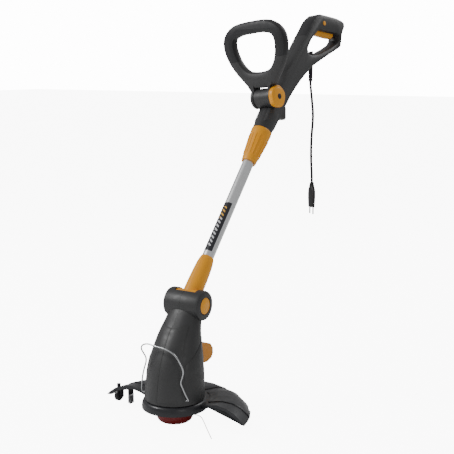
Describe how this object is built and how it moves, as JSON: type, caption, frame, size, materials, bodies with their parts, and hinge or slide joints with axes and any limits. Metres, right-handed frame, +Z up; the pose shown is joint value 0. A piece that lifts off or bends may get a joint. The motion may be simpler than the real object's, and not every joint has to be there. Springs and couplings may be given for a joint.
{
  "type": "corded string trimmer",
  "caption": "Corded electric string trimmer with a leaning telescopic tube, tilting motor head, guard, wire stand-off, rear trigger handle and adjustable front loop handle.",
  "frame": {"origin": "middle of the rear hand grip, where the tool is held", "axes": "+Z up with the cutting line level, -Y toward the machine's front, +X to the machine's own left along the head's tilt axis"},
  "size_m": [0.3734, 0.8474, 0.9166],
  "materials": {
    "housing_plastic": "fine moulded grain, satin",
    "guard_plastic": "semi-gloss moulded plastic",
    "soft_grip": "matt soft moulding",
    "black_plastic": "satin",
    "cord_jacket": "satin",
    "yellow_plastic": "satin to semi-gloss",
    "red_plastic": "semi-gloss, worn underneath",
    "aluminium_tube": "drawn, clear anodised",
    "steel": "bright zinc plate",
    "rotor_copper": "varnished winding",
    "nylon_line": "smooth monofilament"
  },
  "bodies": {
    "handle": {"handle_housing_left": "housing_plastic", "handle_housing_right": "housing_plastic", "handle_screw_lower": "steel", "handle_screw_upper": "steel", "grip_pad": "soft_grip", "trigger_pin": "steel", "power_switch": "black_plastic", "cord_hook": "housing_plastic", "clamp_collet": "black_plastic", "strain_relief": "cord_jacket", "supply_cord": "cord_jacket", "plug": "cord_jacket", "plug_pin_left": "steel", "plug_pin_right": "steel", "trigger_spring": "steel"},
    "collar": {"lock_collar": "yellow_plastic"},
    "trigger_lever": {"trigger": "yellow_plastic"},
    "button": {"lock_button": "yellow_plastic"},
    "front_loop": {"front_handle": "housing_plastic", "front_grip": "soft_grip", "pivot_bolt": "steel"},
    "knob": {"front_knob": "yellow_plastic"},
    "bush": {"tube_bush": "black_plastic"},
    "tube": {"shaft_tube": "aluminium_tube", "neck_left": "yellow_plastic", "neck_right": "yellow_plastic", "neck_screw_lower": "steel", "neck_screw_upper": "steel"},
    "head": {"motor_housing_left": "housing_plastic", "motor_housing_right": "housing_plastic", "hinge_axle": "steel", "hinge_cap_left": "yellow_plastic", "hinge_cap_right": "yellow_plastic", "base_plate": "housing_plastic", "bearing_plate_lower": "housing_plastic", "bearing_plate_upper": "housing_plastic", "bearing_lower": "steel", "bearing_upper": "steel", "motor_stator": "steel", "carbon_brush_left": "black_plastic", "carbon_brush_right": "black_plastic", "guard": "guard_plastic", "guard_screw_1": "steel", "guard_screw_2": "steel", "line_cutter_blade": "steel", "roller_axle": "steel", "pedal_pin": "steel"},
    "rotor": {"motor_rotor": "rotor_copper", "cooling_fan": "black_plastic", "spool_carrier": "black_plastic", "spool_spring": "steel"},
    "cap": {"bump_cap": "red_plastic", "line_eyelet": "steel", "cutting_line": "nylon_line"},
    "spool": {"line_spool": "black_plastic", "line_pack": "nylon_line"},
    "wire_stand_off": {"wire_guard": "steel"},
    "pedal": {"tilt_pedal": "yellow_plastic", "pedal_spring": "steel"},
    "roller": {"edge_roller": "black_plastic"}
  },
  "joints": [
    {"name": "collar_twist", "type": "hinge", "parent": "handle", "child": "collar", "pos_m": [-0.0099, -0.35299, -0.30936], "axis": [0, 0.6678, 0.7443], "range_deg": [0, 60]},
    {"name": "trigger_squeeze", "type": "hinge", "parent": "handle", "child": "trigger_lever", "pos_m": [-0.00513, -0.05585, -0.01869], "axis": [0.9848, -0.1292, 0.116], "range_deg": [0, 6], "stiffness_Nm_per_rad": 0.6, "springref_deg": -8.59, "deforming": ["trigger_spring"]},
    {"name": "lock_button_press", "type": "slide", "parent": "handle", "child": "button", "axis": [-0.9848, 0.1292, -0.116], "range_m": [0, 0.0025], "stiffness_N_per_m": 500, "springref_m": -0.001},
    {"name": "front_handle_swing", "type": "hinge", "parent": "handle", "child": "front_loop", "pos_m": [-0.0158, -0.29109, -0.19024], "axis": [0.9848, -0.1292, 0.116], "range_deg": [-30, 30]},
    {"name": "knob_turn", "type": "hinge", "parent": "front_loop", "child": "knob", "pos_m": [-0.0158, -0.29109, -0.19024], "axis": [0.9848, -0.1292, 0.116], "continuous": true},
    {"name": "tube_turn", "type": "hinge", "parent": "handle", "child": "bush", "pos_m": [-0.0099, -0.29957, -0.24982], "axis": [0, 0.6678, 0.7443], "range_deg": [0, 180]},
    {"name": "tube_extend", "type": "slide", "parent": "bush", "child": "tube", "axis": [0, -0.6678, -0.7443], "range_m": [0, 0.1]},
    {"name": "head_tilt", "type": "hinge", "parent": "tube", "child": "head", "pos_m": [-0.0099, -0.64684, -0.63686], "axis": [1, 0, 0], "range_deg": [-15, 30]},
    {"name": "rotor_spin", "type": "hinge", "parent": "head", "child": "rotor", "pos_m": [-0.0099, -0.70104, -0.77526], "axis": [0, 0, 1], "continuous": true},
    {"name": "cap_bump", "type": "slide", "parent": "rotor", "child": "cap", "axis": [0, 0, 1], "range_m": [0, 0.0025], "stiffness_N_per_m": 1500, "springref_m": -0.003, "deforming": ["spool_spring"]},
    {"name": "spool_turn", "type": "hinge", "parent": "cap", "child": "spool", "pos_m": [-0.0099, -0.70104, -0.87526], "axis": [0, 0, 1], "continuous": true},
    {"name": "wire_guard_flip", "type": "hinge", "parent": "head", "child": "wire_stand_off", "pos_m": [-0.0099, -0.73704, -0.82726], "axis": [1, 0, 0], "range_deg": [0, 75]},
    {"name": "pedal_press", "type": "hinge", "parent": "head", "child": "pedal", "pos_m": [-0.0099, -0.65504, -0.70926], "axis": [1, 0, 0], "range_deg": [-8, 0], "stiffness_Nm_per_rad": 3, "springref_deg": 5.73},
    {"name": "roller_spin", "type": "hinge", "parent": "head", "child": "roller", "pos_m": [-0.1684, -0.70104, -0.86526], "axis": [1, 0, 0], "continuous": true}
  ]
}
